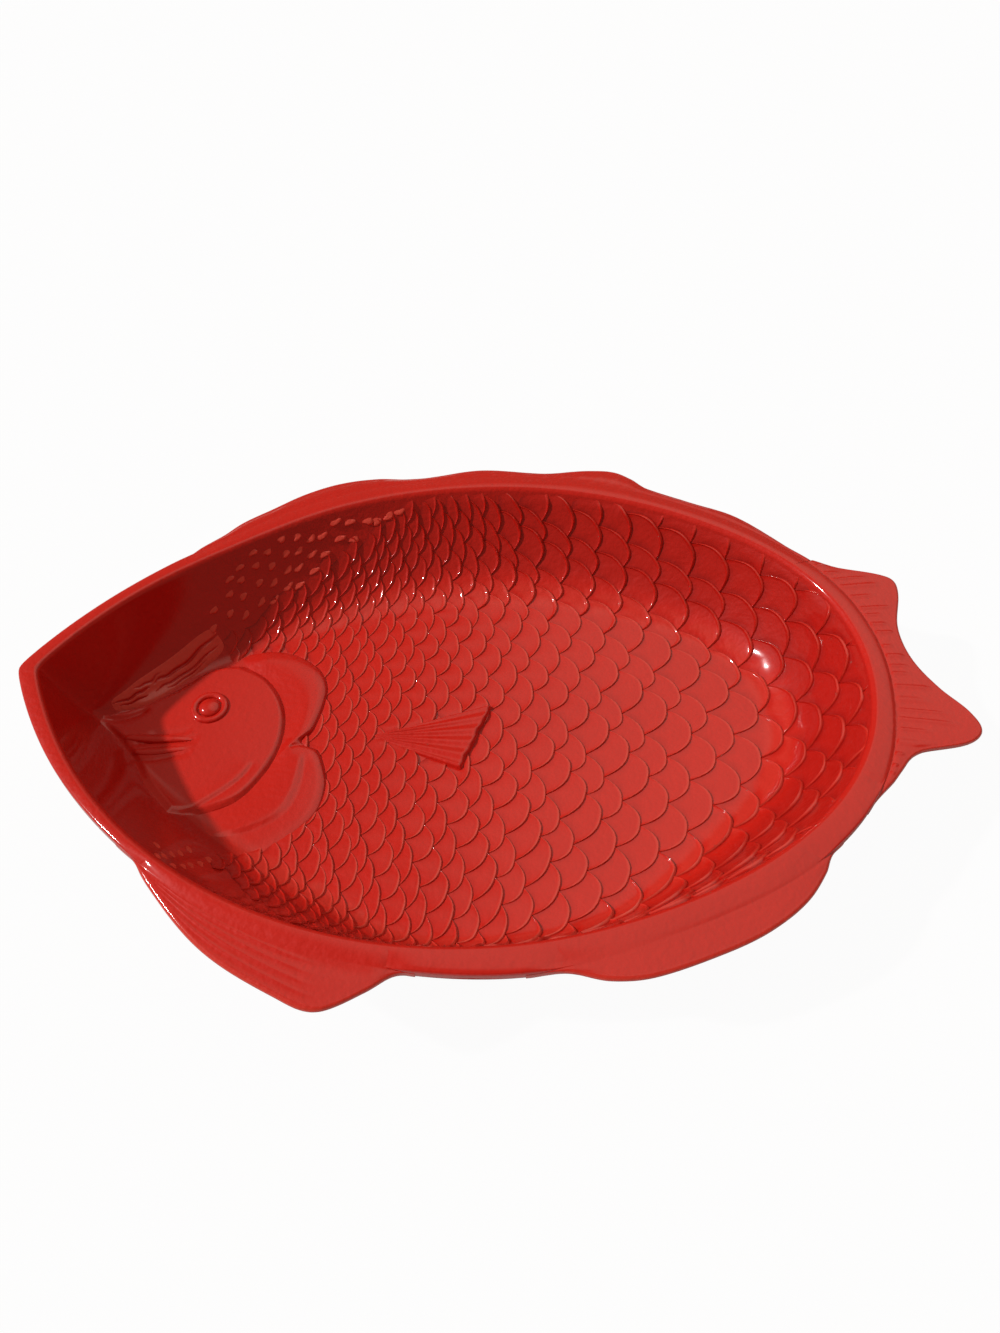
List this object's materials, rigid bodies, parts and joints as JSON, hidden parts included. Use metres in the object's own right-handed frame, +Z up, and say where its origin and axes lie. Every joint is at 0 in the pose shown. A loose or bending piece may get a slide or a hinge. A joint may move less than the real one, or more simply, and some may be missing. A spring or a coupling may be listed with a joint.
{
  "type": "fish shaped platter",
  "caption": "Deep fish shaped serving platter in red glazed ceramic: pointed oval basin with scales and a fish's face in relief, fins round the rim, and a foot ring.",
  "frame": {"origin": "centre of the platter's overall box, on the plane that the foot ring stands on", "axes": "+X from the fish's mouth to its tail, +Y from its belly to its back, +Z up out of the basin"},
  "size_m": [0.4184, 0.2866, 0.05],
  "materials": {
    "red_glaze": "gloss",
    "bare_clay": "matte"
  },
  "bodies": {
    "root": {"basin": "red_glaze", "rim": "red_glaze", "dorsal_fin": "red_glaze", "tail_fin": "red_glaze", "anal_fin": "red_glaze", "pelvic_fin": "red_glaze", "pectoral_fin": "red_glaze", "gill_cover": "red_glaze", "cheek": "red_glaze", "eye_ring": "red_glaze", "eyeball": "red_glaze", "lips": "red_glaze", "crest": "red_glaze", "floor_scales": "red_glaze", "wall_scales": "red_glaze", "foot_ring": "bare_clay"}
  },
  "joints": []
}
